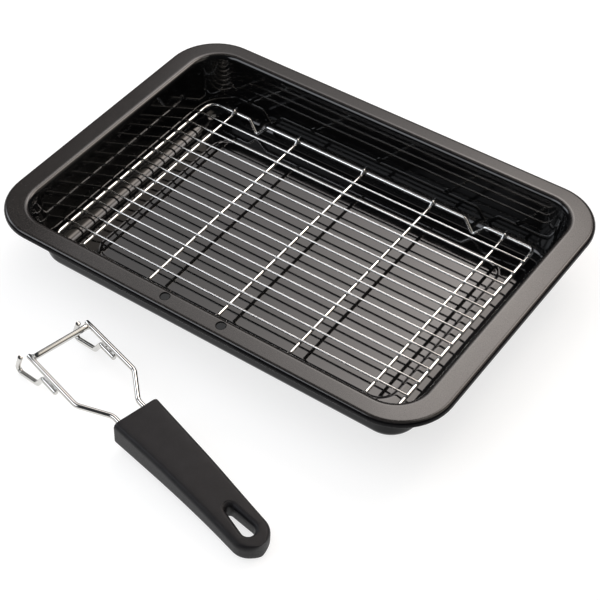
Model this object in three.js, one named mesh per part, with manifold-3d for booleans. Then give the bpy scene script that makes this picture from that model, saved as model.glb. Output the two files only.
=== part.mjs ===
// Grill tray: enamelled pan, lift-out wire rack and a detachable handle.
// Millimetres, +Z up. The origin is the centre of the pan's footprint.
import * as THREE from 'three';
import { mergeVertices } from 'three/addons/utils/BufferGeometryUtils.js';
import Module from 'manifold-3d';

// ---- pan (pressed steel, vitreous enamel)
const STEEL = 1.0;            // sheet with enamel
const PAN_H = 52.5;           // rim top above the table
const RIM_A = 188;            // half length of the flat rim
const RIM_B = 133;            // half width of the flat rim
const LIP_R = 3;              // outer radius of the rolled edge
const LIP_DROP = 5.3;         // lip depth below the rim top
const RIM_CORNER = 39;        // corner radius of the flat rim
const WALL_A1 = 169.8;        // inner wall at the top
const WALL_B1 = 118.1;
const WALL_A0 = 161.2;        // inner wall carried down to the floor
const WALL_B0 = 110.0;
const WALL_CORNER1 = 24;
const WALL_CORNER0 = 20;
const MOUTH_R = 5;            // rounding between wall and rim
const FLOOR_R = 9;            // fillet between wall and floor
const BEAD_A = 131.3;         // stiffening bead pressed up around the floor
const BEAD_B = 80.5;
const BEAD_CORNER = 12;
const BEAD_RISE = 0.5;
const BEAD_STEP = 2.2;
const HOLE_X = 24.5;          // the two handle holes in the front rim
const HOLE_Y = -126.4;
const HOLE_R = 3.25;

// ---- rack (chromed wire)
const RACK_X = -7.3;          // where the rack stands in the pan
const RACK_Y = 3.3;
const FRAME_A = 153.1;        // half length to the wire's centre
const FRAME_B = 98.9;
const FRAME_CORNER = [9, 5];  // left and right corners
const FRAME_R = 1.6;
const FRAME_Z = 11.8;
const FOOT_X = [-104.4, 101.8];  // V feet pressed into the long sides
const FOOT_HALF = 9.1;
const FOOT_LEAN = 2.8;        // they lean in under the rack
const FOOT_LOW = 2.95;        // lowest wire centre
const CROSS_R = 1.3;
const CROSS_PITCH = 64.0;
const CROSS_OVER = 2.6;       // cross wire ends past the frame
const THIN_R = 0.8;
const THIN_COUNT = 12;
const THIN_PITCH = 14.65;
const THIN_OVER = 0.4;        // thin wire ends past the frame
const GAP = 0.3;              // left at each welded contact

// ---- handle (chromed wire and moulded grip), lying on its two hooks and its tail
const HANDLE_X = -74.0;       // crossbar centre
const HANDLE_Y = -183.85;
const HANDLE_Z = 25.2;
const HANDLE_YAW = -13.9;     // degrees
const HANDLE_PITCH = 3.7;     // degrees, tail down
const ARM_R = 2.0;
const ARM_V = 24.7;           // half spacing of the arms
const ARM_FRONT = -4;
const ARM_BEND_U = 52.5;
const NECK_U = 75.7;
const NECK_V = 10.6;
const ARM_END_U = 113;
const BAR_R = 2.3;
const HOOK_R = 2.0;
const HOOK_DV = -2.8;         // hook wire sits low on the side of its arm
const HOOK_DW = -3.35;
const HOOK_TAIL_U = 33.3;
const HOOK_STEP_U = 17.15;
const HOOK_FOOT = [9.6, -15.75];
const HOOK_NOSE = [-17.75, -26.4];
const PEG_TIP = [-10.3, -5.65];
const GRIP_U0 = 86.3;
const GRIP_U1 = 219.4;
const GRIP_WIDTH = [[86.3, 18.6], [109, 17.5], [131, 16.5], [151, 15.8], [171.5, 15.0], [189.7, 14.4], [206.0, 14.0]];
const GRIP_LEAN = [[86.3, 0.4], [131, 0.6], [171.5, 0.9], [206, 1.0]];
const GRIP_TOP = [[86.3, 8.5], [141, 8.7], [191.7, 5.2], [222, 2.6]];
const GRIP_BOTTOM = [[86.3, -13.1], [119, -11.1], [151, -9.4], [186.6, -9.7], [206.8, -10.7], [222, -10.7]];
const SOCKET_R = 2.3;
const HANG_U = 204.5;         // teardrop hang hole
const HANG_R = 4.8;
const HANG_TIP_U = 186.4;
const HANG_TIP_R = 2.8;
const POCKET = 2.8;           // relief round the hole in the grip's underside
const POCKET_W = -7.4;

const wasm = await Module();
wasm.setup();

const V = (x, y, z) => new THREE.Vector3(x, y, z);

function geometry(positions, index) {
  const g = new THREE.BufferGeometry();
  g.setAttribute('position', new THREE.Float32BufferAttribute(positions, 3));
  g.setIndex(index);
  g.computeVertexNormals();
  return g;
}

// closed skin over a list of equal rings, capped at both ends
function skin(rings) {
  const n = rings[0].length, pos = [], idx = [];
  for (const ring of rings) for (const p of ring) pos.push(p.x, p.y, p.z);
  for (let i = 0; i + 1 < rings.length; i++) for (let j = 0; j < n; j++) {
    const a = i * n + j, b = i * n + (j + 1) % n, c = a + n, d = b + n;
    idx.push(a, b, d, a, d, c);
  }
  const cap = (k, flip) => {
    const m = V(0, 0, 0);
    for (const p of rings[k]) m.add(p);
    m.divideScalar(n);
    const c = pos.length / 3;
    pos.push(m.x, m.y, m.z);
    for (let j = 0; j < n; j++) {
      const a = k * n + j, b = k * n + (j + 1) % n;
      flip ? idx.push(c, b, a) : idx.push(c, a, b);
    }
  };
  cap(0, true);
  cap(rings.length - 1, false);
  return geometry(pos, idx);
}

// turns a skin outward if its volume comes out negative
function outward(g) {
  const p = g.attributes.position, ix = g.index.array;
  let v = 0;
  for (let i = 0; i < ix.length; i += 3) {
    const a = V().fromBufferAttribute(p, ix[i]), b = V().fromBufferAttribute(p, ix[i + 1]), c = V().fromBufferAttribute(p, ix[i + 2]);
    v += a.dot(b.cross(c));
  }
  if (v < 0) {
    const r = [];
    for (let i = 0; i < ix.length; i += 3) r.push(ix[i], ix[i + 2], ix[i + 1]);
    g.setIndex(r);
    g.computeVertexNormals();
  }
  return g;
}

// position-only geometry with its shared vertices merged
function merged(g) {
  g.deleteAttribute('normal');
  g.deleteAttribute('uv');
  return mergeVertices(g, 1e-4);
}

function solid(g) {
  return new wasm.Manifold(new wasm.Mesh({
    numProp: 3,
    vertProperties: new Float32Array(g.attributes.position.array),
    triVerts: new Uint32Array(g.index.array),
  }));
}

function back(man) {
  const m = man.getMesh();
  return geometry(Array.from(m.vertProperties), Array.from(m.triVerts));
}

// rounded rectangle ring, half sizes a and b, corner radius r
function rect(a, b, r, z, k = 6) {
  const out = [];
  const c = [[a - r, b - r, 0], [-a + r, b - r, 90], [-a + r, -b + r, 180], [a - r, -b + r, 270]];
  for (const [x, y, s] of c) for (let i = 0; i <= k; i++) {
    const t = THREE.MathUtils.degToRad(s + 90 * i / k);
    out.push(V(x + r * Math.cos(t), y + r * Math.sin(t), z));
  }
  return out;
}

// polyline with its corners turned to arcs
function bend(points, radius, seg = 4) {
  const out = [points[0].clone()];
  for (let i = 1; i + 1 < points.length; i++) {
    const p = points[i];
    const d0 = points[i - 1].clone().sub(p), d1 = points[i + 1].clone().sub(p);
    const l0 = d0.length(), l1 = d1.length();
    d0.normalize(); d1.normalize();
    const ang = d0.angleTo(d1);
    if (ang > Math.PI - 0.01) { out.push(p.clone()); continue; }
    const R = Array.isArray(radius) ? radius[i - 1] : radius;
    const t = Math.min(R / Math.tan(ang / 2), 0.48 * Math.min(l0, l1));
    const r = t * Math.tan(ang / 2);
    const mid = d0.clone().add(d1).normalize();
    const c = p.clone().addScaledVector(mid, r / Math.sin(ang / 2));
    const a = p.clone().addScaledVector(d0, t).sub(c), b = p.clone().addScaledVector(d1, t).sub(c);
    const w = a.angleTo(b);
    for (let k = 0; k <= seg; k++) {
      const f = k / seg;
      out.push(c.clone().addScaledVector(a, Math.sin((1 - f) * w) / Math.sin(w)).addScaledVector(b, Math.sin(f * w) / Math.sin(w)));
    }
  }
  out.push(points[points.length - 1].clone());
  return out;
}

// path through given points, with a step at each of them
class WirePath extends THREE.Curve {
  constructor(points) { super(); this.points = points; }
  at(u) { return Math.min(Math.max(Math.round(u * (this.points.length - 1)), 0), this.points.length - 1); }
  getPoint(u) { return this.points[this.at(u)].clone(); }
  getPointAt(u) { return this.getPoint(u); }
  getSpacedPoints() { return this.points.map((p) => p.clone()); }
  getTangentAt(u, target = V()) {
    const i = this.at(u), p = this.points, n = p.length - 1;
    const a = p[Math.max(i, 1)].clone().sub(p[Math.max(i, 1) - 1]).normalize();
    const b = p[Math.min(i, n - 1) + 1].clone().sub(p[Math.min(i, n - 1)]).normalize();
    return target.copy(i === 0 ? b : i === n ? a : a.add(b).normalize());
  }
}

// round wire along points
function wire(points, r, sides = 8) {
  const disc = new THREE.Shape();
  for (let k = 0; k < sides; k++) {
    const f = 2 * Math.PI * (k + 0.5) / sides, x = r * Math.cos(f), y = r * Math.sin(f);
    k ? disc.lineTo(x, y) : disc.moveTo(x, y);
  }
  disc.closePath();
  return outward(merged(new THREE.ExtrudeGeometry(disc, { steps: points.length - 1, extrudePath: new WirePath(points) })));
}

// straight rod from p to q
function rod(p, q, r, sides = 8) {
  const d = q.clone().sub(p), g = new THREE.CylinderGeometry(r, r, d.length(), sides);
  g.applyQuaternion(new THREE.Quaternion().setFromUnitVectors(V(0, 1, 0), d.clone().normalize()));
  g.translate((p.x + q.x) / 2, (p.y + q.y) / 2, (p.z + q.z) / 2);
  return outward(merged(g));
}

const group = new THREE.Group();
group.name = 'grill_tray';
const rack = new THREE.Group();
rack.position.set(RACK_X, RACK_Y, 0);
group.add(rack);
const handle = new THREE.Group();
handle.position.set(HANDLE_X, HANDLE_Y, HANDLE_Z);
handle.rotation.set(0, THREE.MathUtils.degToRad(HANDLE_PITCH), THREE.MathUtils.degToRad(HANDLE_YAW), 'ZYX');
group.add(handle);
const enamel = { color: 0x1b1b1c, metalness: 0.0, roughness: 0.25 };
const chrome = { color: 0xd6d8da, metalness: 1.0, roughness: 0.12 };
const plastic = { color: 0x1d1d1e, metalness: 0.0, roughness: 0.55 };
function add(parent, name, g, look) {
  const m = new THREE.Mesh(g, new THREE.MeshStandardMaterial(look));
  m.name = name;
  parent.add(m);
}

// ---- pan
const wallA = (z) => WALL_A0 + (WALL_A1 - WALL_A0) * (z - STEEL) / (PAN_H - MOUTH_R - STEEL);
const wallB = (z) => WALL_B0 + (WALL_B1 - WALL_B0) * (z - STEEL) / (PAN_H - MOUTH_R - STEEL);
const wallC = (z) => WALL_CORNER0 + (WALL_CORNER1 - WALL_CORNER0) * (z - STEEL) / (PAN_H - MOUTH_R - STEEL);
const pan = [];
const ARC = 6;
const bead = [0, BEAD_RISE, BEAD_RISE, 0];
bead.forEach((h, i) => pan.push(rect(BEAD_A + i * BEAD_STEP, BEAD_B + i * BEAD_STEP, BEAD_CORNER + i * BEAD_STEP, STEEL + h)));
for (let i = 0; i <= ARC; i++) {                       // inner floor fillet
  const t = Math.PI / 2 * i / ARC, z = STEEL + FLOOR_R * (1 - Math.cos(t)), s = FLOOR_R * (1 - Math.sin(t));
  pan.push(rect(wallA(z) - s, wallB(z) - s, wallC(z) - s, z));
}
for (let i = 0; i <= 4; i++) {                         // mouth rounding
  const t = Math.PI / 2 * i / 4, s = MOUTH_R * (1 - Math.cos(t)), z = PAN_H - MOUTH_R + MOUTH_R * Math.sin(t);
  pan.push(rect(WALL_A1 + s, WALL_B1 + s, WALL_CORNER1 + s, z));
}
for (let i = 0; i <= 3; i++) {                         // rolled edge, outside
  const t = Math.PI / 2 * (1 - i / 3), s = LIP_R * Math.cos(t);
  pan.push(rect(RIM_A + s, RIM_B + s, RIM_CORNER + s, PAN_H - LIP_R + LIP_R * Math.sin(t)));
}
pan.push(rect(RIM_A + LIP_R, RIM_B + LIP_R, RIM_CORNER + LIP_R, PAN_H - LIP_DROP));
const li = LIP_R - STEEL;
pan.push(rect(RIM_A + li, RIM_B + li, RIM_CORNER + li, PAN_H - LIP_DROP));
for (let i = 0; i <= 3; i++) {                         // rolled edge, inside
  const t = Math.PI / 2 * i / 3, s = li * Math.cos(t);
  pan.push(rect(RIM_A + s, RIM_B + s, RIM_CORNER + s, PAN_H - LIP_R + li * Math.sin(t)));
}
const mi = MOUTH_R - STEEL;
for (let i = 0; i <= 4; i++) {                         // under the mouth rounding
  const t = Math.PI / 2 * (1 - i / 4), s = MOUTH_R - mi * Math.cos(t), z = PAN_H - MOUTH_R + mi * Math.sin(t);
  pan.push(rect(WALL_A1 + s, WALL_B1 + s, WALL_CORNER1 + s, z));
}
const fo = FLOOR_R + STEEL;
for (let i = ARC; i >= 0; i--) {                       // outer floor fillet
  const t = Math.PI / 2 * i / ARC, z = fo * (1 - Math.cos(t)), s = fo * (1 - Math.sin(t)) - STEEL, q = Math.max(z, STEEL);
  pan.push(rect(wallA(q) - s, wallB(q) - s, wallC(q) - s, z));
}
[3, 2, 1, 0].forEach((i) => {
  const d = i * BEAD_STEP + (i < 2 ? 0.12 : -0.12);
  pan.push(rect(BEAD_A + d, BEAD_B + d, BEAD_CORNER + d, bead[i]));
});
let body = solid(outward(skin(pan)));
for (const s of [-1, 1]) {
  body = body.subtract(solid(rod(V(s * HOLE_X, HOLE_Y, PAN_H - 3.5), V(s * HOLE_X, HOLE_Y, PAN_H + 2), HOLE_R, 24)));
}
add(group, 'pan', back(body), enamel);

// ---- rack: one bent frame wire, butted at the middle of its front side
const loop = [];
const corner = (sx, sy, s) => {
  const r = FRAME_CORNER[sx < 0 ? 0 : 1], x = sx * (FRAME_A - r), y = sy * (FRAME_B - r);
  for (let i = 0; i <= 4; i++) {
    const t = THREE.MathUtils.degToRad(s + 90 * i / 4);
    loop.push(V(x + r * Math.cos(t), y + r * Math.sin(t), FRAME_Z));
  }
};
const foot = (c, sy, dir) => {
  const y = sy * FRAME_B, low = FOOT_LOW, r = 2.6;
  let tip = low;
  for (let i = 0; i < 20; i++) {                       // the arc's lowest point lands on low
    const t = Math.atan(FOOT_HALF / Math.hypot(FRAME_Z - tip, FOOT_LEAN));
    tip = low - (r / Math.sin(t) - r) * (FRAME_Z - tip) / Math.hypot(FRAME_Z - tip, FOOT_LEAN);
  }
  const pts = bend([V(c - dir * 30, y, FRAME_Z), V(c - dir * FOOT_HALF, y, FRAME_Z), V(c, y - sy * FOOT_LEAN, tip),
    V(c + dir * FOOT_HALF, y, FRAME_Z), V(c + dir * 30, y, FRAME_Z)], [4, r, 4], 4);
  loop.push(...pts.slice(1, -1));
};
loop.push(V(GAP / 2, -FRAME_B, FRAME_Z));
foot(FOOT_X[1], -1, 1);
corner(1, -1, 270);
corner(1, 1, 0);
foot(FOOT_X[1], 1, -1);
foot(FOOT_X[0], 1, -1);
corner(-1, 1, 90);
corner(-1, -1, 180);
foot(FOOT_X[0], -1, 1);
loop.push(V(-GAP / 2, -FRAME_B, FRAME_Z));
add(rack, 'rack_frame', wire(loop, FRAME_R), chrome);

const thinZ = FRAME_Z + FRAME_R + GAP + THIN_R;
const crossZ = thinZ - THIN_R - GAP - CROSS_R;
const lapZ = FRAME_Z + FRAME_R + GAP + CROSS_R;
for (let i = 0; i < 5; i++) {
  const x = (i - 2) * CROSS_PITCH, e = FRAME_B + CROSS_OVER;
  const pts = [];
  for (const s of [-1, 1]) {
    const half = [V(x, s * e, lapZ), V(x, s * (FRAME_B - 1.8), lapZ), V(x, s * (FRAME_B - 5.5), crossZ)];
    pts.push(...(s < 0 ? half : half.reverse()));
  }
  add(rack, `rack_cross_${i + 1}`, wire(bend(pts, 2.5, 2), CROSS_R), chrome);
}
for (let j = 0; j < THIN_COUNT; j++) {
  const y = ((THIN_COUNT - 1) / 2 - j) * THIN_PITCH, e = FRAME_A + FRAME_R + THIN_OVER;
  add(rack, `rack_wire_${j + 1}`, rod(V(-e, y, thinZ), V(e, y, thinZ), THIN_R), chrome);
}

// ---- handle, along its own x, with its crossbar at the group's origin
for (const [s, name] of [[-1, 'left'], [1, 'right']]) {
  const arm = bend([V(ARM_FRONT, s * ARM_V, 0), V(ARM_BEND_U, s * ARM_V, 0), V(NECK_U, s * NECK_V, 0), V(ARM_END_U, s * NECK_V, 0)], [10, 10], 5);
  add(handle, `handle_arm_${name}`, wire(arm, ARM_R), chrome);
  const v = s * ARM_V + HOOK_DV;
  const hook = bend([V(HOOK_TAIL_U, v, HOOK_DW), V(HOOK_STEP_U, v, HOOK_DW), V(HOOK_FOOT[0], v, HOOK_FOOT[1]),
    V(HOOK_NOSE[0], v, HOOK_NOSE[1]), V(PEG_TIP[0], v, PEG_TIP[1])], [4, 4, 3.6], 4);
  add(handle, `handle_hook_${name}`, wire(hook, HOOK_R), chrome);
}
const barV = ARM_V - ARM_R - GAP;
add(handle, 'handle_crossbar', rod(V(0, -barV, 0), V(0, barV, 0), BAR_R, 10), chrome);

// smooth curve through knots
const along = (knots, u) => {
  let i = 0;
  while (i + 2 < knots.length && u > knots[i + 1][0]) i++;
  const m = (k) => {
    const a = knots[Math.max(k - 1, 0)], b = knots[Math.min(k + 1, knots.length - 1)];
    return (b[1] - a[1]) / (b[0] - a[0]);
  };
  const [x0, y0] = knots[i], [x1, y1] = knots[i + 1], d = x1 - x0, t = Math.min(Math.max((u - x0) / d, 0), 1);
  return y0 * (1 + 2 * t) * (1 - t) ** 2 + y1 * t * t * (3 - 2 * t) + d * (m(i) * t * (1 - t) ** 2 - m(i + 1) * t * t * (1 - t));
};

// grip sections: flat top with side bevels, soft underside, round tail
const TAIL_U = GRIP_WIDTH[GRIP_WIDTH.length - 1][0];
const section = (u) => {
  const r = Math.min(Math.max((u - TAIL_U) / (GRIP_U1 - TAIL_U), 0), 0.9995);
  const w = along(GRIP_WIDTH, Math.min(u, TAIL_U)) * Math.sqrt(1 - r * r);
  const top = along(GRIP_TOP, u), low = along(GRIP_BOTTOM, u), lean = along(GRIP_LEAN, Math.min(u, TAIL_U));
  const lo = Math.min(4, 0.5 * w), hi = Math.min(3.4, 0.45 * w), p = [];
  const arc = (cv, cw, rv, rw, s) => {
    for (let i = 0; i <= 2; i++) {
      const t = THREE.MathUtils.degToRad(s + 45 * i);
      p.push(V(u, lean + cv + rv * Math.cos(t), cw + rw * Math.sin(t)));
    }
  };
  arc(w - hi, top - 4, hi, 4, 0);
  arc(-w + hi, top - 4, hi, 4, 90);
  arc(-w + lo, low + 4, lo, 4, 180);
  arc(w - lo, low + 4, lo, 4, 270);
  return p;
};
const stations = [GRIP_U0, 93, 103, 116, 131, 147, 163, 179, 193, 201, TAIL_U, 210.4, 213.9, 216.5, 218.2, GRIP_U1 - 0.35, GRIP_U1];
let grip = solid(outward(skin(stations.map(section))));
for (const s of [-1, 1]) {
  grip = grip.subtract(solid(rod(V(GRIP_U0 - 2, s * NECK_V, 0), V(ARM_END_U + 0.4, s * NECK_V, 0), SOCKET_R, 16)));
}
const teardrop = (more, from, to) => {
  const drop = new THREE.Shape();
  drop.absarc(HANG_U, 0, HANG_R + more, -1.69, 1.69, false);
  drop.absarc(HANG_TIP_U, 0, HANG_TIP_R + more, 1.69, -1.69 + 2 * Math.PI, false);
  drop.closePath();
  const g = merged(new THREE.ExtrudeGeometry(drop, { depth: to - from, bevelEnabled: false, curveSegments: 8 }));
  g.translate(0, GRIP_LEAN[3][1], from);
  return solid(outward(g));
};
grip = grip.subtract(teardrop(0, -30, 30)).subtract(teardrop(POCKET, -30, POCKET_W));
add(handle, 'handle_grip', back(grip), plastic);

export default group;
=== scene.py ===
import math

import bmesh
import bpy
from mathutils import Matrix, Vector

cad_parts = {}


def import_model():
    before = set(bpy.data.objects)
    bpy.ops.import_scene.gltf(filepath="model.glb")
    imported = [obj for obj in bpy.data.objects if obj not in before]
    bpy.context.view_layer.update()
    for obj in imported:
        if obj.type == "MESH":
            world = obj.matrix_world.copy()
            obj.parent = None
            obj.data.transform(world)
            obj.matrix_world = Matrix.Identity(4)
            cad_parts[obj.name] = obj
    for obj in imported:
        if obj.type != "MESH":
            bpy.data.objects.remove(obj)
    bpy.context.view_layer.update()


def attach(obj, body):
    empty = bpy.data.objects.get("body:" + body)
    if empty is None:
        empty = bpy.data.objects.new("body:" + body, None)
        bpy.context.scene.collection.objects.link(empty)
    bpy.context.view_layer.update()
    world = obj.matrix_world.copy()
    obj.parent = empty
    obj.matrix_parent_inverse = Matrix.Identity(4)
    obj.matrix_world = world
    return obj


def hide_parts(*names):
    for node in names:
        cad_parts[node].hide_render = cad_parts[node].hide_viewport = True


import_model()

MM = 0.001
scene = bpy.context.scene


# ------------------------------------------------------------------ helpers
def link(name, mesh, materials):
    obj = bpy.data.objects.new(name, mesh)
    scene.collection.objects.link(obj)
    for m in materials:
        mesh.materials.append(m)
    return obj


def smooth(mesh, angle):
    mesh.polygons.foreach_set("use_smooth", [True] * len(mesh.polygons))
    mesh.set_sharp_from_angle(angle=math.radians(angle))


def mesh_from(name, verts, faces, indices=None, angle=40, matrix=None):
    """Mesh in metres from points in millimetres, welded and turned outward."""
    mesh = bpy.data.meshes.new(name)
    pts = [(matrix @ Vector(v)) if matrix else Vector(v) for v in verts]
    mesh.from_pydata([tuple(p * MM) for p in pts], [], faces)
    if indices:
        mesh.polygons.foreach_set("material_index", indices)
    bm = bmesh.new()
    bm.from_mesh(mesh)
    bmesh.ops.remove_doubles(bm, verts=bm.verts, dist=1e-7)
    bmesh.ops.recalc_face_normals(bm, faces=bm.faces)
    bm.to_mesh(mesh)
    bm.free()
    smooth(mesh, angle)
    return mesh


def loft(rings, closed_ends=True, loop=False):
    """Faces over equal rings of points; every band of quads is returned with its ring number."""
    n = len(rings[0])
    verts = [p for r in rings for p in r]
    faces, band = [], []
    m = len(rings)
    for i in range(m if loop else m - 1):
        for j in range(n):
            a, b = i * n + j, i * n + (j + 1) % n
            k = (i + 1) % m
            faces.append((a, b, k * n + (j + 1) % n, k * n + j))
            band.append(i)
    if closed_ends and not loop:
        faces.append(tuple(range(n))[::-1])
        band.append(0)
        faces.append(tuple((m - 1) * n + j for j in range(n)))
        band.append(m - 2)
    return verts, faces, band


def rect(a, b, r, z, k=14, nl=12, ns=8):
    """Rounded rectangle ring with k steps in each corner and even steps along the sides."""
    r = max(r, 0.05)
    out = []
    corners = [(a - r, b - r, 0), (-a + r, b - r, 90), (-a + r, -b + r, 180), (a - r, -b + r, 270)]
    for q, (x, y, s) in enumerate(corners):
        arc = []
        for i in range(k + 1):
            t = math.radians(s + 90 * i / k)
            arc.append(Vector((x + r * math.cos(t), y + r * math.sin(t), z)))
        out += arc
        nx, ny, ns_ = corners[(q + 1) % 4]
        t = math.radians(ns_)
        nxt = Vector((nx + r * math.cos(t), ny + r * math.sin(t), z))
        steps = nl if q % 2 == 0 else ns
        for i in range(1, steps):
            out.append(arc[-1].lerp(nxt, i / steps))
    return out


def bend(points, radius, seg=8):
    """Polyline with its corners turned to arcs."""
    pts = [Vector(p) for p in points]
    out = [pts[0].copy()]
    for i in range(1, len(pts) - 1):
        p = pts[i]
        d0, d1 = pts[i - 1] - p, pts[i + 1] - p
        l0, l1 = d0.length, d1.length
        d0.normalize(); d1.normalize()
        ang = d0.angle(d1)
        if ang > math.pi - 0.01:
            out.append(p.copy())
            continue
        R = radius[i - 1] if isinstance(radius, (list, tuple)) else radius
        t = min(R / math.tan(ang / 2), 0.48 * min(l0, l1))
        r = t * math.tan(ang / 2)
        c = p + (d0 + d1).normalized() * (r / math.sin(ang / 2))
        a, b = p + d0 * t - c, p + d1 * t - c
        w = a.angle(b)
        for k in range(seg + 1):
            f = k / seg
            out.append(c + a * (math.sin((1 - f) * w) / math.sin(w)) + b * (math.sin(f * w) / math.sin(w)))
    out.append(pts[-1].copy())
    return out


def dense(points, step):
    """Adds points along long straight runs."""
    out = [points[0]]
    for p, q in zip(points, points[1:]):
        n = max(1, int((q - p).length / step))
        out += [p.lerp(q, i / n) for i in range(1, n + 1)]
    return out


def sweep(points, r, sides=16, closed=False, nose=0.35):
    """Round wire along points, with slightly rounded cut ends."""
    pts = [Vector(p) for p in points]
    n = len(pts)
    tang = []
    for i in range(n):
        if closed:
            a, b = pts[i] - pts[i - 1], pts[(i + 1) % n] - pts[i]
        else:
            a = pts[max(i, 1)] - pts[max(i, 1) - 1]
            b = pts[min(i, n - 2) + 1] - pts[min(i, n - 2)]
        tang.append((a.normalized() + b.normalized()).normalized())
    up = Vector((0, 0, 1)) if abs(tang[0].z) < 0.9 else Vector((1, 0, 0))
    side = tang[0].cross(up).normalized()
    rings = []

    def ring(c, t, s, rr):
        u = s.cross(t).normalized()
        return [c + s * (rr * math.cos(2 * math.pi * k / sides)) + u * (rr * math.sin(2 * math.pi * k / sides)) for k in range(sides)]

    sides_at = []
    for i in range(n):
        side = (side - tang[i] * side.dot(tang[i])).normalized()
        sides_at.append(side.copy())
    if closed:
        for i in range(n):
            rings.append(ring(pts[i], tang[i], sides_at[i], r))
        return loft(rings, loop=True)
    e = r * nose
    cap = [(0.0, r - e), (e * 0.3, r - e * 0.29), (e, r)]
    for d, rr in cap:
        rings.append(ring(pts[0] + tang[0] * d, tang[0], sides_at[0], rr))
    for i in range(1, n - 1):
        rings.append(ring(pts[i], tang[i], sides_at[i], r))
    for d, rr in cap[::-1]:
        rings.append(ring(pts[-1] - tang[-1] * d, tang[-1], sides_at[-1], rr))
    return loft(rings)


def blob(c, x, y, z, sides=10, rows=5, lean=0.0):
    """Flattened weld bead around c with half axes x, y and z (vectors)."""
    rings = []
    for i in range(rows + 1):
        t = math.pi * (i + 0.35) / (rows + 0.7) if 0 < i < rows else math.pi * (0.09 if i == 0 else 0.91)
        rr = math.sin(t) ** 0.8
        ring = []
        for k in range(sides):
            f = 2 * math.pi * k / sides
            w = 1 + 0.10 * math.sin(3 * f + lean) + 0.06 * math.cos(2 * f + 2.1 * lean)
            ring.append(c + x * (rr * w * math.cos(f)) + y * (rr * w * math.sin(f)) + z * math.cos(t))
        rings.append(ring)
    return loft(rings)


def gather(parts):
    verts, faces = [], []
    for v, f, _ in parts:
        o = len(verts)
        verts += v
        faces += [tuple(i + o for i in q) for q in f]
    return verts, faces


def applied(obj):
    dg = bpy.context.evaluated_depsgraph_get()
    mesh = bpy.data.meshes.new_from_object(obj.evaluated_get(dg))
    obj.modifiers.clear()
    obj.data = mesh
    return obj


def cut(obj, cutters):
    for c in cutters:
        m = obj.modifiers.new("cut", "BOOLEAN")
        m.operation, m.solver, m.object = "DIFFERENCE", "EXACT", c
    bpy.context.view_layer.update()
    applied(obj)
    for c in cutters:
        bpy.data.objects.remove(c)


# ---------------------------------------------------------------- materials
def nodes_of(name):
    m = bpy.data.materials.new(name)
    m.use_nodes = True
    t = m.node_tree
    t.nodes.clear()
    out = t.nodes.new("ShaderNodeOutputMaterial")
    p = t.nodes.new("ShaderNodeBsdfPrincipled")
    t.links.new(p.outputs["BSDF"], out.inputs["Surface"])
    c = t.nodes.new("ShaderNodeTexCoord")
    return m, t, p, c


def noise(t, c, scale, detail=3.0, rough=0.5, stretch=None):
    n = t.nodes.new("ShaderNodeTexNoise")
    n.inputs["Scale"].default_value = scale
    n.inputs["Detail"].default_value = detail
    n.inputs["Roughness"].default_value = rough
    if stretch:
        mp = t.nodes.new("ShaderNodeMapping")
        mp.inputs["Scale"].default_value = stretch
        t.links.new(c.outputs["Object"], mp.inputs["Vector"])
        t.links.new(mp.outputs["Vector"], n.inputs["Vector"])
    else:
        t.links.new(c.outputs["Object"], n.inputs["Vector"])
    return n.outputs["Fac"]


def remap(t, src, lo, hi, a=0.3, b=0.7):
    m = t.nodes.new("ShaderNodeMapRange")
    m.inputs["From Min"].default_value, m.inputs["From Max"].default_value = a, b
    m.inputs["To Min"].default_value, m.inputs["To Max"].default_value = lo, hi
    t.links.new(src, m.inputs["Value"])
    return m.outputs["Result"]


def ramp(t, src, stops):
    r = t.nodes.new("ShaderNodeValToRGB")
    e = r.color_ramp.elements
    while len(e) < len(stops):
        e.new(0.5)
    for el, (pos, col) in zip(e, stops):
        el.position, el.color = pos, (*col, 1)
    t.links.new(src, r.inputs["Fac"])
    return r.outputs["Color"]


def bump(t, src, strength, distance, normal=None):
    b = t.nodes.new("ShaderNodeBump")
    b.inputs["Strength"].default_value = strength
    b.inputs["Distance"].default_value = distance
    t.links.new(src, b.inputs["Height"])
    if normal:
        t.links.new(normal, b.inputs["Normal"])
    return b.outputs["Normal"]


def enamel_gloss():
    m, t, p, c = nodes_of("enamel_gloss")
    t.links.new(ramp(t, noise(t, c, 60, 4), [(0.3, (0.0018, 0.0018, 0.0020)), (0.7, (0.0032, 0.0032, 0.0034))]), p.inputs["Base Color"])
    t.links.new(remap(t, noise(t, c, 45, 5, 0.6), 0.035, 0.075), p.inputs["Roughness"])
    p.inputs["IOR"].default_value = 1.52
    peel = bump(t, noise(t, c, 520, 2), 0.25, 0.000012)
    sag = bump(t, noise(t, c, 22, 1), 0.5, 0.00022, peel)
    t.links.new(sag, p.inputs["Normal"])
    return m


def enamel_rim():
    m, t, p, c = nodes_of("enamel_rim")
    t.links.new(ramp(t, noise(t, c, 700, 3), [(0.3, (0.0150, 0.0135, 0.0128)), (0.7, (0.0240, 0.0216, 0.0204))]), p.inputs["Base Color"])
    t.links.new(remap(t, noise(t, c, 90, 4, 0.6), 0.09, 0.14), p.inputs["Roughness"])
    p.inputs["IOR"].default_value = 1.52
    t.links.new(bump(t, noise(t, c, 700, 2), 0.3, 0.000012), p.inputs["Normal"])
    return m


# Outer enamel, rougher than the inside. Its reflection is turned down (specular level 0.10) as painted shade, which
# darkens the lip, outer wall, underside and hole walls.
def enamel_outer_shaded():
    m, t, p, c = nodes_of("enamel_outer_shaded")
    t.links.new(ramp(t, noise(t, c, 60, 4), [(0.3, (0.0022, 0.0021, 0.0026)), (0.7, (0.0040, 0.0038, 0.0046))]), p.inputs["Base Color"])
    t.links.new(remap(t, noise(t, c, 60, 4, 0.6), 0.10, 0.17), p.inputs["Roughness"])
    p.inputs["IOR"].default_value = 1.40
    p.inputs["Specular IOR Level"].default_value = 0.10
    t.links.new(bump(t, noise(t, c, 520, 2), 0.3, 0.000012), p.inputs["Normal"])
    return m


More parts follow.
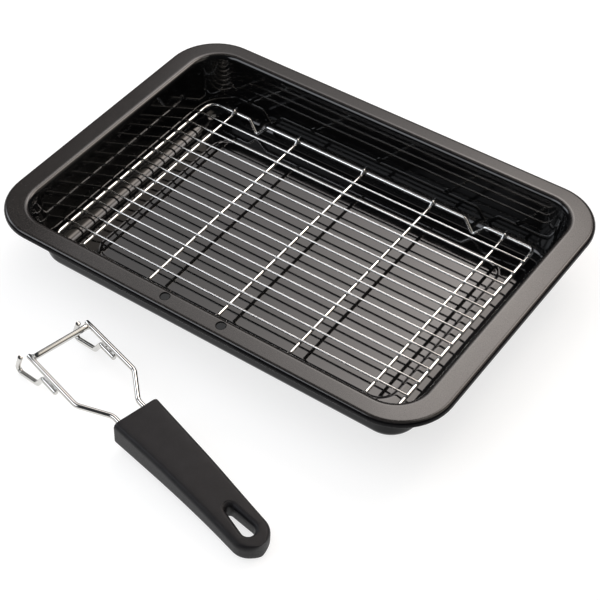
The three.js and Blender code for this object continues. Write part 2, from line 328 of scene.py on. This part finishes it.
def chrome(name, rough=(0.06, 0.14), tint=(0.80, 0.80, 0.79)):
    m, t, p, c = nodes_of(name)
    p.inputs["Metallic"].default_value = 1.0
    low = tuple(x * 0.9 for x in tint)
    t.links.new(ramp(t, noise(t, c, 160, 4), [(0.3, low), (0.65, tint)]), p.inputs["Base Color"])
    t.links.new(remap(t, noise(t, c, 300, 5, 0.6), *rough), p.inputs["Roughness"])
    t.links.new(bump(t, noise(t, c, 420, 3), 0.25, 0.00003), p.inputs["Normal"])
    return m


def weld_metal():
    m, t, p, c = nodes_of("weld_metal")
    p.inputs["Metallic"].default_value = 1.0
    t.links.new(ramp(t, noise(t, c, 500, 4), [(0.3, (0.52, 0.51, 0.49)), (0.7, (0.74, 0.74, 0.73))]), p.inputs["Base Color"])
    t.links.new(remap(t, noise(t, c, 800, 4), 0.16, 0.34), p.inputs["Roughness"])
    t.links.new(bump(t, noise(t, c, 1500, 3), 0.5, 0.00008), p.inputs["Normal"])
    return m


def grip_plastic():
    m, t, p, c = nodes_of("grip_plastic")
    t.links.new(ramp(t, noise(t, c, 130, 4), [(0.3, (0.0058, 0.0053, 0.0064)), (0.7, (0.0086, 0.0080, 0.0094))]), p.inputs["Base Color"])
    t.links.new(remap(t, noise(t, c, 900, 3), 0.44, 0.56), p.inputs["Roughness"])
    p.inputs["IOR"].default_value = 1.49
    p.inputs["Specular IOR Level"].default_value = 0.30
    t.links.new(bump(t, noise(t, c, 2600, 2), 0.6, 0.00003), p.inputs["Normal"])
    return m


GLOSS, RIM, OUTER_SHADED = enamel_gloss(), enamel_rim(), enamel_outer_shaded()
CHROME = chrome("chrome_wire", (0.15, 0.25), (0.84, 0.84, 0.83))
CHROME_HANDLE = chrome("chrome_handle", (0.05, 0.11), (0.65, 0.64, 0.615))
WELD = weld_metal()
PLASTIC = grip_plastic()


def piece(name, mesh, materials, body, nodes=()):
    obj = link(name, mesh, materials)
    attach(obj, body)
    if nodes:
        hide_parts(*nodes)
    return obj


# ---------------------------------------------------------------------- pan
STEEL, PAN_H = 1.0, 52.5
RIM_A, RIM_B, RIM_CORNER = 188.0, 133.0, 39.0
LIP_R, LIP_DROP, RIM_FALL = 3.0, 5.3, 0.4
WALL_A1, WALL_B1, WALL_A0, WALL_B0 = 169.8, 118.1, 161.2, 110.0
WALL_C1, WALL_C0 = 24.0, 20.0
MOUTH_R, FLOOR_R = 5.0, 9.0
BEAD_A, BEAD_B, BEAD_CORNER, BEAD_RISE, BEAD_W = 131.3, 80.5, 12.0, 0.5, 6.6
GUTTER_Z = 0.2
HOLE_X, HOLE_Y, HOLE_R = 24.5, -126.4, 3.25


def wall(z):
    f = (z - STEEL) / (PAN_H - MOUTH_R - STEEL)
    return WALL_A0 + (WALL_A1 - WALL_A0) * f, WALL_B0 + (WALL_B1 - WALL_B0) * f, WALL_C0 + (WALL_C1 - WALL_C0) * f


def pan_mesh():
    rings, look = [], []

    def put(a, b, r, z, mat=0):
        rings.append(rect(a, b, r, z))
        look.append(mat)

    def bead_height(s):
        return BEAD_RISE * 0.5 * (1 - math.cos(2 * math.pi * s / BEAD_W))

    # inside floor, bead and gutter
    for a, b in ((30, 8), (80, 40), (112, 62), (129, 78.2)):
        put(a, b, max(3.0, BEAD_CORNER - (BEAD_A - a)), STEEL)
    for i in range(7):
        s = BEAD_W * i / 12
        put(BEAD_A + s, BEAD_B + s, BEAD_CORNER + s, STEEL + bead_height(s))
    # gutter falling from the bead's crest to the fillet
    a1, b1, c1 = (k - FLOOR_R for k in wall(GUTTER_Z))
    for f in (0.06, 0.25, 0.5, 0.75, 0.95):
        s = BEAD_W * 0.5
        put(BEAD_A + s + (a1 - BEAD_A - s) * f, BEAD_B + s + (b1 - BEAD_B - s) * f, BEAD_CORNER + s + (c1 - BEAD_CORNER - s) * f, STEEL + BEAD_RISE + (GUTTER_Z - STEEL - BEAD_RISE) * f)
    # fillet up to the wall
    n = 16
    for i in range(n + 1):
        t = math.pi / 2 * i / n
        z, s = GUTTER_Z + FLOOR_R * (1 - math.cos(t)), FLOOR_R * (1 - math.sin(t))
        a, b, c = wall(z)
        put(a - s, b - s, c - s, z)
    for z in (16, 26, 36, 43, 46.6):
        a, b, c = wall(z)
        put(a, b, c, z)
    # rounded mouth
    n = 14
    for i in range(n + 1):
        t = math.pi / 2 * i / n
        s, z = MOUTH_R * (1 - math.cos(t)), PAN_H - MOUTH_R + MOUTH_R * math.sin(t)
        put(WALL_A1 + s, WALL_B1 + s, WALL_C1 + s, z, 1 if i >= 9 else 0)
    a0, b0, c0 = WALL_A1 + MOUTH_R, WALL_B1 + MOUTH_R, WALL_C1 + MOUTH_R
    # the rim falls a little to its outer edge
    for f in (0.04, 0.25, 0.5, 0.75, 0.96):
        put(a0 + (RIM_A - a0) * f, b0 + (RIM_B - b0) * f, c0 + (RIM_CORNER - c0) * f, PAN_H - RIM_FALL * f, 1)
    # rolled edge; its lower half takes the outer enamel with painted shade
    n = 8
    for i in range(n + 1):
        t = math.pi / 2 * (1 - i / n)
        s = LIP_R * math.cos(t)
        put(RIM_A + s, RIM_B + s, RIM_CORNER + s, PAN_H - RIM_FALL - LIP_R + LIP_R * math.sin(t), 1 if i < 4 else 2)
    e = 0.45
    put(RIM_A + LIP_R, RIM_B + LIP_R, RIM_CORNER + LIP_R, PAN_H - LIP_DROP + e, 2)
    put(RIM_A + LIP_R - 0.13, RIM_B + LIP_R - 0.13, RIM_CORNER + LIP_R - 0.13, PAN_H - LIP_DROP + 0.13, 2)
    put(RIM_A + LIP_R - e, RIM_B + LIP_R - e, RIM_CORNER + LIP_R - e, PAN_H - LIP_DROP, 2)
    li = LIP_R - STEEL
    put(RIM_A + li + 0.1, RIM_B + li + 0.1, RIM_CORNER + li + 0.1, PAN_H - LIP_DROP + 0.08, 2)
    put(RIM_A + li, RIM_B + li, RIM_CORNER + li, PAN_H - LIP_DROP + 0.4, 2)
    n = 6
    for i in range(n + 1):
        t = math.pi / 2 * i / n
        s = li * math.cos(t)
        put(RIM_A + s, RIM_B + s, RIM_CORNER + s, PAN_H - LIP_R + li * math.sin(t), 2)
    # under the rim and down the outer wall
    mi = MOUTH_R - STEEL
    for f in (0.94, 0.5, 0.06):
        put(a0 + (RIM_A - a0) * f, b0 + (RIM_B - b0) * f, c0 + (RIM_CORNER - c0) * f, PAN_H - STEEL, 2)
    n = 6
    for i in range(n + 1):
        t = math.pi / 2 * (1 - i / n)
        s, z = MOUTH_R - mi * math.cos(t), PAN_H - MOUTH_R + mi * math.sin(t)
        put(WALL_A1 + s, WALL_B1 + s, WALL_C1 + s, z, 2)
    for z in (46.4, 36, 26, 16):
        a, b, c = wall(z)
        put(a + STEEL, b + STEEL, c + STEEL, z, 2)
    fo = FLOOR_R + STEEL
    n = 16
    for i in range(n, -1, -1):
        t = math.pi / 2 * i / n
        z, s = fo * (1 - math.cos(t)), fo * (1 - math.sin(t)) - STEEL
        a, b, c = wall(max(z, STEEL))
        put(a - s, b - s, c - s, z, 2)
        if i == 0:
            put(a - s - 1.0, b - s - 1.0, c - s - 1.0, z, 2)
    put(BEAD_A + 8, BEAD_B + 8, BEAD_CORNER + 8, 0, 2)
    for i in range(12, -1, -1):
        s = BEAD_W * i / 12
        put(BEAD_A + s, BEAD_B + s, BEAD_CORNER + s, bead_height(s), 2)
    for a, b in ((129, 78.2), (80, 40), (30, 8)):
        put(a, b, max(3.0, BEAD_CORNER - (BEAD_A - a)), 0, 2)
    verts, faces, band = loft(rings)
    return mesh_from("pan_skin", verts, faces, [look[i] for i in band], 50)


def hole_cutter(x):
    """Punch with a rolled-in upper edge."""
    slope = RIM_FALL / (RIM_B - WALL_B1 - MOUTH_R)
    top = PAN_H - slope * (-HOLE_Y - WALL_B1 - MOUTH_R)
    prof = [(HOLE_R, top - 3.0), (HOLE_R, top - 0.75)]
    e = 0.75
    for i in range(1, 7):
        t = math.pi / 2 * i / 6
        prof.append((HOLE_R + e * (1 - math.cos(t)), top - e + e * math.sin(t)))
    prof.append((HOLE_R + e + 0.02, top + 1.0))
    rings = [[Vector((x + r * math.cos(2 * math.pi * k / 40), HOLE_Y + r * math.sin(2 * math.pi * k / 40), z + slope * r * math.sin(2 * math.pi * k / 40))) for k in range(40)] for r, z in prof]
    v, f, _ = loft(rings)
    # the punched hole walls take the outer enamel with painted shade
    return link("hole_cutter", mesh_from("hole_cutter", v, f), [OUTER_SHADED])


pan = link("pan_enamelled", pan_mesh(), [GLOSS, RIM, OUTER_SHADED])
cut(pan, [hole_cutter(-HOLE_X), hole_cutter(HOLE_X)])
smooth(pan.data, 50)
even = pan.modifiers.new("even", "WEIGHTED_NORMAL")
even.mode, even.weight, even.keep_sharp = "FACE_AREA", 50, True
bpy.context.view_layer.update()
applied(pan)
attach(pan, "pan")
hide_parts("pan")


# --------------------------------------------------------------------- rack
RACK = Matrix.Translation((-7.3, 3.3, 0.0))
FRAME_A, FRAME_B, FRAME_CORNER, FRAME_R, FRAME_Z = 153.1, 98.9, (9.0, 5.0), 1.6, 11.8
FOOT_X, FOOT_HALF, FOOT_LEAN, FOOT_LOW = (-104.4, 101.8), 9.1, 2.8, (2.95, 2.95)
CROSS_R, CROSS_PITCH, CROSS_OVER = 1.3, 64.0, 2.6
THIN_R, THIN_COUNT, THIN_PITCH, THIN_OVER = 0.8, 12, 14.65, 0.4
GAP = 0.3
THIN_Z = FRAME_Z + FRAME_R + GAP + THIN_R
CROSS_Z = THIN_Z - THIN_R - GAP - CROSS_R
LAP_Z = FRAME_Z + FRAME_R + GAP + CROSS_R


def frame_path():
    pts = []

    def corner(sx, sy, s):
        r = FRAME_CORNER[0 if sx < 0 else 1]
        x, y = sx * (FRAME_A - r), sy * (FRAME_B - r)
        for i in range(11):
            t = math.radians(s + 9 * i)
            pts.append(Vector((x + r * math.cos(t), y + r * math.sin(t), FRAME_Z)))

    def foot(c, sy, d):
        y, low, r = sy * FRAME_B, FOOT_LOW[0 if sy < 0 else 1], 2.6
        tip = low
        for _ in range(20):
            deep = math.hypot(FRAME_Z - tip, FOOT_LEAN)
            tip = low - (r / math.sin(math.atan(FOOT_HALF / deep)) - r) * (FRAME_Z - tip) / deep
        run = bend([(c - d * 30, y, FRAME_Z), (c - d * FOOT_HALF, y, FRAME_Z), (c, y - sy * FOOT_LEAN, tip), (c + d * FOOT_HALF, y, FRAME_Z), (c + d * 30, y, FRAME_Z)], [4, r, 4], 8)
        pts.extend(run)

    pts.append(Vector((0, -FRAME_B, FRAME_Z)))
    foot(FOOT_X[1], -1, 1)
    corner(1, -1, 270)
    corner(1, 1, 0)
    foot(FOOT_X[1], 1, -1)
    foot(FOOT_X[0], 1, -1)
    corner(-1, 1, 90)
    corner(-1, -1, 180)
    foot(FOOT_X[0], -1, 1)
    return pts


v, f, _ = sweep(frame_path(), FRAME_R, 20, closed=True)
piece("rack_frame_wire", mesh_from("rack_frame_wire", v, f, matrix=RACK), [CHROME], "rack", ["rack_frame"])

cross_x = [(i - 2) * CROSS_PITCH for i in range(5)]
thin_y = [((THIN_COUNT - 1) / 2 - j) * THIN_PITCH for j in range(THIN_COUNT)]
for i, x in enumerate(cross_x):
    e = FRAME_B + CROSS_OVER
    run = bend([(x, -e, LAP_Z), (x, -FRAME_B + 1.8, LAP_Z), (x, -FRAME_B + 5.5, CROSS_Z), (x, FRAME_B - 5.5, CROSS_Z), (x, FRAME_B - 1.8, LAP_Z), (x, e, LAP_Z)], 2.5, 6)
    v, f, _ = sweep(dense(run, 30), CROSS_R, 18)
    piece(f"cross_wire_{i + 1}", mesh_from(f"cross_wire_{i + 1}", v, f, matrix=RACK), [CHROME], "rack", [f"rack_cross_{i + 1}"])
for j, y in enumerate(thin_y):
    e = FRAME_A + FRAME_R + THIN_OVER
    v, f, _ = sweep(dense([Vector((-e, y, THIN_Z)), Vector((e, y, THIN_Z))], 30), THIN_R, 14)
    piece(f"thin_wire_{j + 1}", mesh_from(f"thin_wire_{j + 1}", v, f, matrix=RACK), [CHROME], "rack", [f"rack_wire_{j + 1}"])

X, Y, Z = Vector((1, 0, 0)), Vector((0, 1, 0)), Vector((0, 0, 1))
welds = []
for j, y in enumerate(thin_y):
    for i, x in enumerate(cross_x):
        welds.append(blob(Vector((x, y, THIN_Z - THIN_R - GAP * 0.5)), X * 0.8, Y * 0.6, Z * 0.5, lean=0.7 * i + 1.3 * j))
    for s in (-1, 1):
        welds.append(blob(Vector((s * FRAME_A, y, FRAME_Z + FRAME_R + GAP * 0.5)), X * 0.9, Y * 0.6, Z * 0.5, lean=j + s))
for i, x in enumerate(cross_x):
    for s in (-1, 1):
        welds.append(blob(Vector((x, s * FRAME_B, FRAME_Z + FRAME_R + GAP * 0.5)), X * 0.9, Y * 1.1, Z * 0.6, lean=i + 2 * s))
welds.append(blob(Vector((0, -FRAME_B, FRAME_Z)), X * 0.9, Y * 1.78, Z * 1.78, sides=16))
v, f = gather(welds)
piece("rack_welds", mesh_from("rack_welds", v, f, matrix=RACK), [CHROME], "rack")


# ------------------------------------------------------------------- handle
HANDLE = Matrix.Translation((-74.0, -183.85, 25.2)) @ Matrix.Rotation(math.radians(-13.9), 4, "Z") @ Matrix.Rotation(math.radians(3.7), 4, "Y")
ARM_R, ARM_V, ARM_FRONT, ARM_BEND_U, NECK_U, NECK_V, ARM_END_U = 2.0, 24.7, -4.0, 52.5, 75.7, 10.6, 113.0
BAR_R, HOOK_R, HOOK_DV, HOOK_DW = 2.3, 2.0, -2.8, -3.35
HOOK_TAIL_U, HOOK_STEP_U = 33.3, 17.15
HOOK_FOOT, HOOK_NOSE, PEG_TIP = (9.6, -15.75), (-17.75, -26.4), (-10.3, -5.65)
GRIP_U0, GRIP_U1 = 86.3, 219.4
GRIP_WIDTH = [(86.3, 18.6), (109, 17.5), (131, 16.5), (151, 15.8), (171.5, 15.0), (189.7, 14.4), (206.0, 14.0)]
GRIP_LEAN = [(86.3, 0.4), (131, 0.6), (171.5, 0.9), (206, 1.0)]
GRIP_TOP = [(86.3, 8.5), (141, 8.7), (191.7, 5.2), (222, 2.6)]
GRIP_BOTTOM = [(86.3, -13.1), (119, -11.1), (151, -9.4), (186.6, -9.7), (206.8, -10.7), (222, -10.7)]
HANG_U, HANG_R, HANG_TIP_U, HANG_TIP_R = 204.5, 4.8, 186.4, 2.8
POCKET, POCKET_W = 2.8, -7.4

handle_welds = []
for s, name in ((-1, "left"), (1, "right")):
    run = bend([(ARM_FRONT, s * ARM_V, 0), (ARM_BEND_U, s * ARM_V, 0), (NECK_U, s * NECK_V, 0), (ARM_END_U, s * NECK_V, 0)], [10, 10], 12)
    v, f, _ = sweep(dense(run, 8), ARM_R, 28, nose=0.5)
    piece(f"arm_{name}", mesh_from(f"arm_{name}", v, f, matrix=HANDLE), [CHROME_HANDLE], "handle", [f"handle_arm_{name}"])
    q = s * ARM_V + HOOK_DV
    run = bend([(HOOK_TAIL_U, q, HOOK_DW), (HOOK_STEP_U, q, HOOK_DW), (HOOK_FOOT[0], q, HOOK_FOOT[1]), (HOOK_NOSE[0], q, HOOK_NOSE[1]), (PEG_TIP[0], q, PEG_TIP[1])], [4, 4, 3.6], 12)
    v, f, _ = sweep(dense(run, 5), HOOK_R, 28, nose=0.35)
    piece(f"hook_{name}", mesh_from(f"hook_{name}", v, f, matrix=HANDLE), [CHROME_HANDLE], "handle", [f"handle_hook_{name}"])
    mid = Vector((0, s * ARM_V + HOOK_DV * 0.5, HOOK_DW * 0.5))
    across = Vector((0, HOOK_DV, HOOK_DW)).normalized()
    off = Vector((0, -HOOK_DW, HOOK_DV)).normalized()
    for u in (20.5, 25.5, 30.5):
        handle_welds.append(blob(mid + X * u, X * 3.1, off * 1.35, across * 1.0, lean=u))
    handle_welds.append(blob(Vector((0, s * (ARM_V - ARM_R - 0.1), 0)), X * 2.9, Z * 2.7, Y * 1.0, sides=18, lean=s))
run = dense([Vector((0, -(ARM_V - ARM_R - 0.3), 0)), Vector((0, ARM_V - ARM_R - 0.3, 0))], 4)
v, f, _ = sweep(run, BAR_R, 28, nose=0.2)
piece("crossbar", mesh_from("crossbar", v, f, matrix=HANDLE), [CHROME_HANDLE], "handle", ["handle_crossbar"])
v, f = gather(handle_welds)
piece("handle_welds", mesh_from("handle_welds", v, f, matrix=HANDLE), [WELD], "handle")


def along(knots, u):
    i = 0
    while i + 2 < len(knots) and u > knots[i + 1][0]:
        i += 1

    def m(k):
        a, b = knots[max(k - 1, 0)], knots[min(k + 1, len(knots) - 1)]
        return (b[1] - a[1]) / (b[0] - a[0])

    (x0, y0), (x1, y1) = knots[i], knots[i + 1]
    d = x1 - x0
    t = min(max((u - x0) / d, 0), 1)
    return y0 * (1 + 2 * t) * (1 - t) ** 2 + y1 * t * t * (3 - 2 * t) + d * (m(i) * t * (1 - t) ** 2 - m(i + 1) * t * t * (1 - t))


TAIL_U = GRIP_WIDTH[-1][0]


def grip_half(u):
    r = min(max((u - TAIL_U) / (GRIP_U1 - TAIL_U), 0), 0.9999)
    return along(GRIP_WIDTH, min(u, TAIL_U)) * math.sqrt(1 - r * r)


def grip_section(u, inset=0.0):
    w = max(grip_half(u) - inset, 0.15)
    top, low = along(GRIP_TOP, u) - inset, along(GRIP_BOTTOM, u) + inset
    lean = along(GRIP_LEAN, min(u, TAIL_U))
    hi_v, lo_v = min(3.4, 0.45 * w), min(4.0, 0.5 * w)
    hi_w = lo_w = min(4.0, 0.4 * (top - low))
    p = []

    def arc(cv, cw, rv, rw, s, n=8):
        for i in range(n + 1):
            t = math.radians(s + 90 * i / n)
            p.append(Vector((u, lean + cv + rv * math.cos(t), cw + rw * math.sin(t))))

    def run(q0, q1, n):
        for i in range(1, n):
            p.append(Vector((u, lean + q0[0] + (q1[0] - q0[0]) * i / n, q0[1] + (q1[1] - q0[1]) * i / n)))

    arc(w - hi_v, top - hi_w, hi_v, hi_w, 0)
    run((w - hi_v, top), (-w + hi_v, top), 6)
    arc(-w + hi_v, top - hi_w, hi_v, hi_w, 90)
    run((-w, top - hi_w), (-w, low + lo_w), 4)
    arc(-w + lo_v, low + lo_w, lo_v, lo_w, 180)
    run((-w + lo_v, low), (w - lo_v, low), 6)
    arc(w - lo_v, low + lo_w, lo_v, lo_w, 270)
    run((w, low + lo_w), (w, top - hi_w), 4)
    return p


def grip_mesh():
    e = 1.1
    st = [(GRIP_U0 + e * (1 - math.cos(math.pi / 2 * i / 6)), e * (1 - math.sin(math.pi / 2 * i / 6))) for i in range(7)]
    rings = [grip_section(u, d) for u, d in st]
    u = GRIP_U0 + e + 2
    while u < TAIL_U:
        rings.append(grip_section(u))
        u += 2.5
    n = 22
    for i in range(n + 1):
        f = math.sin(math.pi / 2 * i / n)
        rings.append(grip_section(TAIL_U + (GRIP_U1 - TAIL_U) * f))
    v, f, _ = loft(rings)
    return mesh_from("grip_moulded", v, f, None, 60, HANDLE)


def hang_cutter():
    """Teardrop punch with a widely rolled upper edge and a relief in the underside."""
    line, n = [], 20
    for i in range(n + 1):
        t = -1.69 + 3.38 * i / n
        line.append((HANG_U + HANG_R * math.cos(t), HANG_R * math.sin(t), math.cos(t), math.sin(t)))
    for i in range(n + 1):
        t = 1.69 + (2 * math.pi - 3.38) * i / n
        line.append((HANG_TIP_U + HANG_TIP_R * math.cos(t), HANG_TIP_R * math.sin(t), math.cos(t), math.sin(t)))
    e = 3.4
    prof = [(POCKET + 0.6, "low", -3.0), (POCKET + 0.6, "low", 0.0), (POCKET + 0.15, "low", 0.45), (POCKET, "low", 1.2),
            (POCKET, "flat", -0.6), (POCKET - 0.2, "flat", -0.15), (POCKET - 0.6, "flat", 0.0), (0.5, "flat", 0.0), (0.15, "flat", 0.12), (0.0, "flat", 0.5)]
    prof += [(e * (1 - math.cos(math.pi / 2 * i / 10)), "top", -e + e * math.sin(math.pi / 2 * i / 10)) for i in range(11)]
    prof.append((e + 0.05, "top", 3.0))
    lean = GRIP_LEAN[-1][1]
    rings = []
    for off, side, dw in prof:
        ring = []
        for u, q, nu, nv in line:
            base = POCKET_W if side == "flat" else along(GRIP_TOP if side == "top" else GRIP_BOTTOM, u)
            ring.append(Vector((u + nu * off, lean + q + nv * off, base + dw)))
        rings.append(ring)
    v, f, _ = loft(rings)
    return link("hang_cutter", mesh_from("hang_cutter", v, f, None, 60, HANDLE), [PLASTIC])


grip = link("grip_moulded", grip_mesh(), [PLASTIC])
cut(grip, [hang_cutter()])
smooth(grip.data, 55)
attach(grip, "handle")
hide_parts("handle_grip")


# -------------------------------------------------------------------- stage
def floor():
    m, t, p, c = nodes_of("floor_paper")
    t.links.new(ramp(t, noise(t, c, 3, 3), [(0.3, (0.30, 0.30, 0.30)), (0.7, (0.32, 0.32, 0.32))]), p.inputs["Base Color"])
    t.links.new(remap(t, noise(t, c, 40, 4), 0.75, 0.9), p.inputs["Roughness"])
    p.inputs["Specular IOR Level"].default_value = 0.1
    p.inputs["Emission Color"].default_value = (1, 1, 1, 1)
    p.inputs["Emission Strength"].default_value = 0.74
    bm = bmesh.new()
    bmesh.ops.create_grid(bm, x_segments=8, y_segments=8, size=7)
    mesh = bpy.data.meshes.new("floor")
    bm.to_mesh(mesh)
    bm.free()
    obj = link("floor", mesh, [m])
    obj.location = (0, 0, -0.0002)


def card(name, centre, target, width, height, across, upward, tints):
    """Soft reflector whose glow changes along its width and its height."""
    m = bpy.data.materials.new(name)
    m.use_nodes = True
    t = m.node_tree
    t.nodes.clear()
    out = t.nodes.new("ShaderNodeOutputMaterial")
    em = t.nodes.new("ShaderNodeEmission")
    c = t.nodes.new("ShaderNodeTexCoord")
    sep = t.nodes.new("ShaderNodeSeparateXYZ")
    t.links.new(c.outputs["Generated"], sep.inputs["Vector"])
    lo, hi = tints
    col = ramp(t, sep.outputs["X"], [(p, tuple(k * (a + (b - a) * p) for a, b in zip(lo, hi))) for p, k in across])
    k = ramp(t, sep.outputs["Y"], [(p, (v, v, v)) for p, v in upward])
    t.links.new(col, em.inputs["Color"])
    t.links.new(k, em.inputs["Strength"])
    t.links.new(em.outputs["Emission"], out.inputs["Surface"])
    bm = bmesh.new()
    bmesh.ops.create_grid(bm, x_segments=4, y_segments=4, size=0.5)
    mesh = bpy.data.meshes.new(name)
    bm.to_mesh(mesh)
    bm.free()
    obj = link(name, mesh, [m])
    obj.scale = (width, height, 1)
    away = (Vector(target) - Vector(centre)).normalized()
    obj.location = centre
    x = Vector((0, 0, 1)).cross(away).normalized()
    y = away.cross(x).normalized()
    rot = Matrix((x, y, away)).transposed().to_4x4()
    obj.rotation_mode = "QUATERNION"
    obj.rotation_quaternion = rot.to_quaternion()
    obj.visible_camera = False
    return obj


def world():
    w = bpy.data.worlds.new("studio")
    scene.world = w
    w.use_nodes = True
    t = w.node_tree
    t.nodes.clear()
    out = t.nodes.new("ShaderNodeOutputWorld")
    bg = t.nodes.new("ShaderNodeBackground")
    c = t.nodes.new("ShaderNodeTexCoord")
    sep = t.nodes.new("ShaderNodeSeparateXYZ")
    t.links.new(c.outputs["Generated"], sep.inputs["Vector"])
    mr = t.nodes.new("ShaderNodeMapRange")
    mr.inputs["From Min"].default_value, mr.inputs["From Max"].default_value = -1, 1
    t.links.new(sep.outputs["Z"], mr.inputs["Value"])

    def at(z, k):
        return ((z + 1) / 2, (k * 0.92, k * 0.97, k * 1.05))

    col = ramp(t, mr.outputs["Result"], [at(-0.15, 0.5), at(0.0, 0.04), at(0.30, 0.04), at(0.70, 0.05), at(1.0, 0.06)])
    t.links.new(col, bg.inputs["Color"])
    bg.inputs["Strength"].default_value = 1.0
    t.links.new(bg.outputs["Background"], out.inputs["Surface"])


floor()
world()
def area(name, at, target, size, power, glossy=True):
    light = bpy.data.lights.new(name, "AREA")
    light.shape, light.size, light.size_y, light.energy = "RECTANGLE", size[0], size[1], power
    obj = bpy.data.objects.new(name, light)
    scene.collection.objects.link(obj)
    obj.location = at
    obj.rotation_mode = "QUATERNION"
    obj.rotation_quaternion = (Vector(target) - Vector(at)).to_track_quat("-Z", "Y")
    obj.visible_camera = False
    obj.visible_glossy = glossy
    return obj


def spread(lo, hi, stops):
    return [((x - lo) / (hi - lo), k) for x, k in stops]


# two warm boxes side by side behind the pan, the left one with a long soft tail
card("card_back", (0, 0.90, 1.23), (0, 0, 0.03), 3.0, 1.2,
     spread(-1.5, 1.5, [(-1.5, 0.1), (-1.17, 0.3), (-1.07, 1.5), (-0.92, 1.7), (-0.70, 2.65), (-0.50, 4.2), (-0.36, 6.2), (-0.22, 5.5), (-0.02, 1.8), (0.15, 5.8), (0.40, 5.8), (0.65, 1.2), (1.5, 0.1)]),
     spread(-0.6, 0.6, [(-0.6, 0.05), (-0.28, 0.82), (-0.12, 1.0), (0.20, 0.80), (0.6, 0.05)]),
     ((1.00, 0.985, 1.01), (1.14, 0.965, 0.80)))
# cooler boxes on the left and at the front left
card("card_left", (-1.35, -0.20, 0.80), (0, 0, 0.03), 0.9, 0.7,
     [(0.0, 0.8), (0.3, 3.0), (0.7, 3.0), (1.0, 0.8)], [(0.0, 0.3), (0.3, 1.0), (0.7, 1.0), (1.0, 0.3)],
     ((0.95, 0.99, 1.06), (0.95, 0.99, 1.06)))
card("card_front", (-0.78, -0.98, 1.02), (0, -0.05, 0.03), 1.2, 0.8,
     [(0.0, 1.5), (0.25, 3.2), (0.75, 3.2), (1.0, 1.2)], [(0.0, 0.4), (0.3, 1.0), (0.7, 1.0), (1.0, 0.4)],
     ((0.96, 0.99, 1.05), (0.96, 0.99, 1.05)))
# dim warm bounce on the right
card("card_right", (1.25, 0.40, 1.05), (0, 0, 0.03), 1.4, 1.0,
     [(0.0, 0.25), (0.3, 0.8), (0.7, 0.8), (1.0, 0.25)], [(0.0, 0.3), (0.3, 1.0), (0.7, 1.0), (1.0, 0.5)],
     ((1.10, 1.0, 0.88), (1.10, 1.0, 0.88)))
# warm box high behind the right-hand side
card("card_top", (0.50, 0.62, 1.80), (-0.05, -0.10, 0.03), 1.5, 0.9,
     [(0.0, 0.5), (0.25, 1.8), (0.75, 1.8), (1.0, 0.5)], [(0.0, 0.5), (0.25, 1.0), (0.75, 1.0), (1.0, 0.5)],
     ((1.05, 1.0, 0.92), (1.05, 1.0, 0.92)))
# broad overhead fill
area("overhead", (0.1, -0.1, 2.2), (0, -0.05, 0), (3.2, 3.2), 48, glossy=False)

cam_data = bpy.data.cameras.new("camera")
cam = bpy.data.objects.new("camera", cam_data)
scene.collection.objects.link(cam)
az, el = math.radians(35.22), math.radians(45.76)
back = Vector((math.sin(az) * math.cos(el), -math.cos(az) * math.cos(el), math.sin(el)))
right = (-back).cross(Vector((0, 0, 1))).normalized()
up = right.cross(-back).normalized()
pose = Matrix((right, up, back)).transposed().to_4x4()
pose.translation = Vector((0.506078, -0.714490, 0.855951))
cam.matrix_world = pose
cam_data.sensor_width = 36.0
cam_data.lens = 96.69
cam_data.clip_start, cam_data.clip_end = 0.05, 60
scene.camera = cam

scene.view_settings.view_transform = "Standard"
scene.view_settings.look = "None"

bpy.context.view_layer.update()
